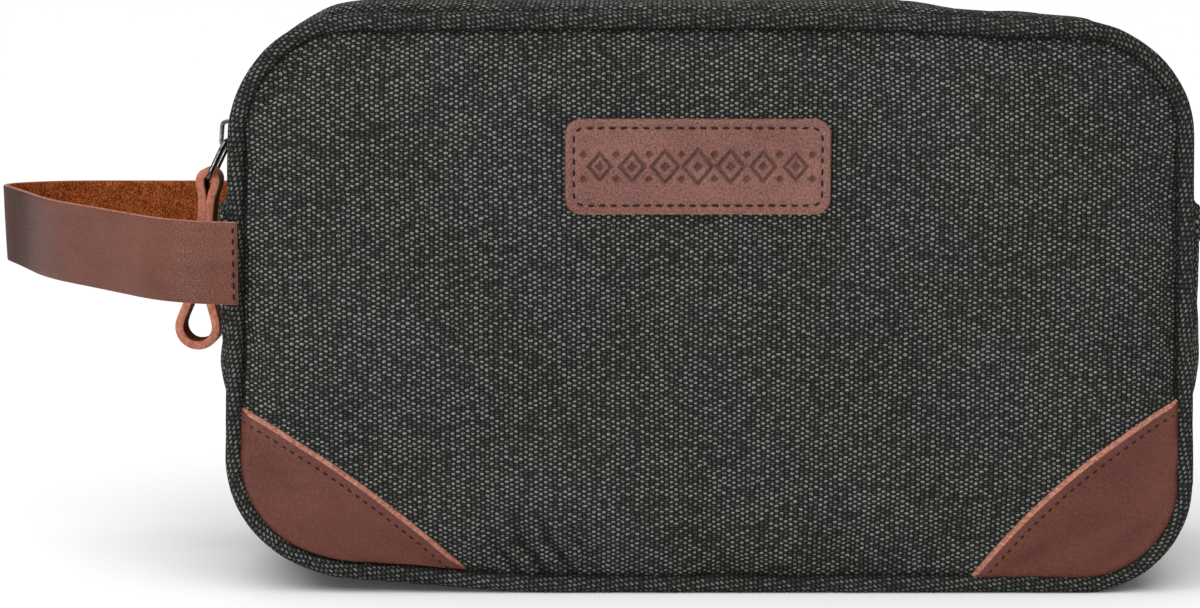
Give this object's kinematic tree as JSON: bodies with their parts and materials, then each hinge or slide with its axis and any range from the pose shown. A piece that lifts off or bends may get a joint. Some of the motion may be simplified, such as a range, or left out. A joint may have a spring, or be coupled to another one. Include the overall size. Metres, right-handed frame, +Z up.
{
  "type": "shaving kit bag",
  "caption": "Boxy zipped canvas toiletry bag with leather corners, a label patch, a wrist strap at one end and a leather zip pull on a ring.",
  "frame": {"origin": "centre of the flat underside of the bag", "axes": "+X to the right as the front is seen, along the width; the front with the label faces -Y; +Z up"},
  "size_m": [0.3456, 0.094, 0.1625],
  "materials": {
    "canvas": "waxed plain-weave canvas, charcoal with pale flecks",
    "piping_canvas": "the same canvas rolled over a cord",
    "lining": "plain dark grey lining cloth",
    "foam": "thin padding",
    "board": "stiffener board",
    "binding": "seam binding tape",
    "trim_leather": "reddish brown smooth leather with a tan cut edge",
    "strap_leather": "reddish brown grain outside, tan suede inside",
    "pull_leather": "tan leather seen on its cut edge",
    "zip_tape": "black woven zip tape",
    "zip_teeth": "gunmetal teeth",
    "gunmetal": "polished gunmetal"
  },
  "bodies": {
    "bag": {"back_foam": "foam", "back_lining": "lining", "back_panel": "canvas", "back_piping": "piping_canvas", "base_board": "board", "front_foam": "foam", "front_lining": "lining", "front_panel": "canvas", "front_piping": "piping_canvas", "gusset_lining": "lining", "label_patch": "trim_leather", "leather_corner_back_left": "trim_leather", "leather_corner_back_right": "trim_leather", "leather_corner_front_left": "trim_leather", "leather_corner_front_right": "trim_leather", "lower_gusset": "canvas", "seam_binding_back": "binding", "seam_binding_front": "binding", "slip_pocket": "lining", "zip_strip_back_left": "canvas", "zip_strip_back_right": "canvas", "zip_strip_front_left": "canvas", "zip_strip_front_right": "canvas", "zip_tape_back_left": "zip_tape", "zip_tape_back_right": "zip_tape", "zip_tape_front_left": "zip_tape", "zip_tape_front_right": "zip_tape", "zip_teeth_back_left": "zip_teeth", "zip_teeth_back_right": "zip_teeth", "zip_teeth_front_left": "zip_teeth", "zip_teeth_front_right": "zip_teeth"},
    "slider": {"zip_slider": "gunmetal", "zip_slider_under_plate": "gunmetal"},
    "ring": {"pull_ring": "gunmetal"},
    "pull": {"leather_pull": "pull_leather"},
    "strap": {"wrist_strap": "strap_leather"},
    "front_flap": {"zip_strip_front_middle": "canvas", "zip_tape_front_middle": "zip_tape", "zip_teeth_front_middle": "zip_teeth"},
    "back_flap": {"zip_strip_back_middle": "canvas", "zip_tape_back_middle": "zip_tape", "zip_teeth_back_middle": "zip_teeth"}
  },
  "joints": [
    {"name": "slider_run", "type": "hinge", "parent": "bag", "child": "slider", "pos_m": [-0.0925, 0, 0.1205], "axis": [0, 1, 0], "range_deg": [0, 85]},
    {"name": "ring_swing", "type": "hinge", "parent": "slider", "child": "ring", "pos_m": [-0.13715, 0, 0.1224], "axis": [0, 1, 0], "range_deg": [-2, 30]},
    {"name": "pull_swing", "type": "hinge", "parent": "ring", "child": "pull", "pos_m": [-0.14242, 0, 0.11161], "axis": [0, 1, 0], "range_deg": [-3, 30]},
    {"name": "strap_bend", "type": "hinge", "parent": "bag", "child": "strap", "pos_m": [-0.134, 0, 0.0934], "axis": [0, 1, 0], "range_deg": [-25, 25], "stiffness_Nm_per_rad": 0.08},
    {"name": "front_mouth", "type": "hinge", "parent": "bag", "child": "front_flap", "pos_m": [0, -0.0395, 0.1625], "axis": [1, 0, 0], "range_deg": [0, 90]},
    {"name": "back_mouth", "type": "hinge", "parent": "bag", "child": "back_flap", "pos_m": [0, 0.0395, 0.1625], "axis": [-1, 0, 0], "range_deg": [0, 90]}
  ]
}
